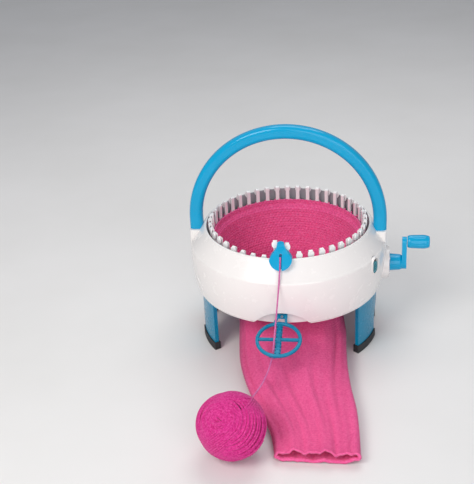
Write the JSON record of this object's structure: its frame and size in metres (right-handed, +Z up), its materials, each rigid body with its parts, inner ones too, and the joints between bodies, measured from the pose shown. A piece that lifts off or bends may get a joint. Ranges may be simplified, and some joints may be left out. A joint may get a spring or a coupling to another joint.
{
  "type": "circular knitting machine",
  "caption": "Hand-cranked circular knitting machine: a drum on two leg panels with a ring of latch needles, arched handle, yarn guides and a knitted tube that comes out under it.",
  "frame": {"origin": "where the needle axis meets the floor", "axes": "+Z up along the needle axis, -Y towards the yarn feeder (front), +X along the crank shaft towards the crank"},
  "size_m": [0.416, 0.604, 0.385],
  "materials": {
    "white_plastic": "gloss",
    "blue_plastic": "gloss",
    "teal_plastic": "gloss",
    "needle_plastic": "gloss",
    "grey_plastic": "satin",
    "steel": "satin",
    "rubber": "matte",
    "knitting": "matte",
    "yarn": "matte"
  },
  "bodies": {
    "housing": {"drum_shell": "white_plastic", "rim_collar": "white_plastic", "base_plate": "white_plastic", "case_screws": "steel", "glide_ring": "grey_plastic", "cam_track_ring": "grey_plastic", "carry_handle": "blue_plastic", "handle_screws": "steel", "right_leg": "blue_plastic", "left_leg": "blue_plastic", "leg_screws": "steel", "foot_pads": "rubber", "yarn_feeder": "blue_plastic", "yarn_guide_wheel": "blue_plastic", "guide_bracket": "blue_plastic", "guide_screw": "steel", "crank_boss_plate": "white_plastic", "boss_screws": "steel", "crank_bushing": "grey_plastic", "selector_bezel": "white_plastic", "detent_spring": "steel", "knitted_tail": "knitting", "yarn_strand": "yarn", "yarn_ball": "yarn"},
    "needle_carrier": {"needle_cylinder": "white_plastic", "latch_needles": "needle_plastic", "needle_latches": "needle_plastic", "retaining_band": "steel", "ring_gear": "grey_plastic", "knitted_tube": "knitting"},
    "crank": {"crank_shaft": "steel", "pinion_gear": "grey_plastic", "shaft_clip": "steel", "crank_hub": "blue_plastic", "crank_arm": "blue_plastic", "crank_screw": "steel", "knob_spindle": "steel"},
    "knob": {"crank_knob": "blue_plastic", "knob_cap": "blue_plastic"},
    "selector": {"selector_knob": "teal_plastic", "selector_stop": "grey_plastic"}
  },
  "joints": [
    {"name": "carrier_spin", "type": "hinge", "parent": "housing", "child": "needle_carrier", "pos_m": [0, 0, 0.115], "axis": [0, 0, 1], "continuous": true},
    {"name": "crank_spin", "type": "hinge", "parent": "housing", "child": "crank", "pos_m": [0.18, 0, 0.1304], "axis": [1, 0, 0], "continuous": true},
    {"name": "knob_spin", "type": "hinge", "parent": "crank", "child": "knob", "pos_m": [0.22, 0, 0.1704], "axis": [1, 0, 0], "continuous": true},
    {"name": "selector_slide", "type": "slide", "parent": "housing", "child": "selector", "axis": [0, 0, 1], "range_m": [0, 0.006]}
  ],
  "couplings": [
    {"joint": "crank_spin", "follows": "carrier_spin", "ratio": 10}
  ]
}
